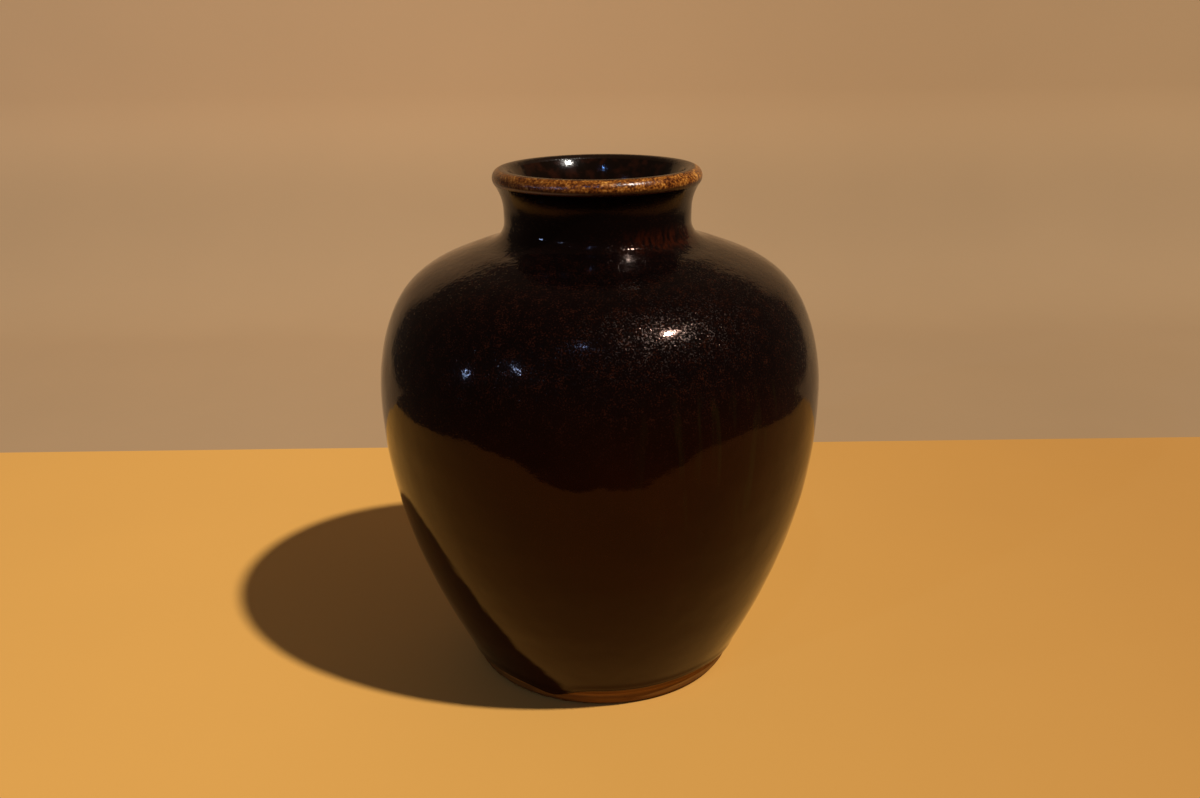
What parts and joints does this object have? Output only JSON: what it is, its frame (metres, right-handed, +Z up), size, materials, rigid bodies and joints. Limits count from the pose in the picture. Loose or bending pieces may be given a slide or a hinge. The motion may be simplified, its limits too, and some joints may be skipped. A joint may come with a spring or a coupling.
{
  "type": "wide-mouthed glazed stoneware jar",
  "caption": "Small high-shouldered stoneware jar with a short upright neck, a rolled lip, a dark glaze and a bare turned foot, used as a flower vessel.",
  "frame": {"origin": "centre of the foot's contact plane, on the jar's axis", "axes": "+Z up the jar's axis out of the mouth, -Y towards the side that the picture shows"},
  "size_m": [0.1136, 0.1136, 0.1323],
  "materials": {
    "bare_clay": "unglazed, turned, dry and slightly rough",
    "body_clay": "unglazed, fine grained",
    "dark_glaze": "glossy black-brown iron glaze",
    "rust_glaze": "thin glaze broken to rust brown, satin",
    "inner_glaze": "glossy dark brown"
  },
  "bodies": {
    "root": {"foot_ring": "bare_clay", "lower_body": "body_clay", "upper_body": "body_clay", "neck_collar": "body_clay", "lip_roll": "body_clay", "body_glaze": "dark_glaze", "lip_glaze": "rust_glaze", "inner_glaze": "inner_glaze"}
  },
  "joints": []
}
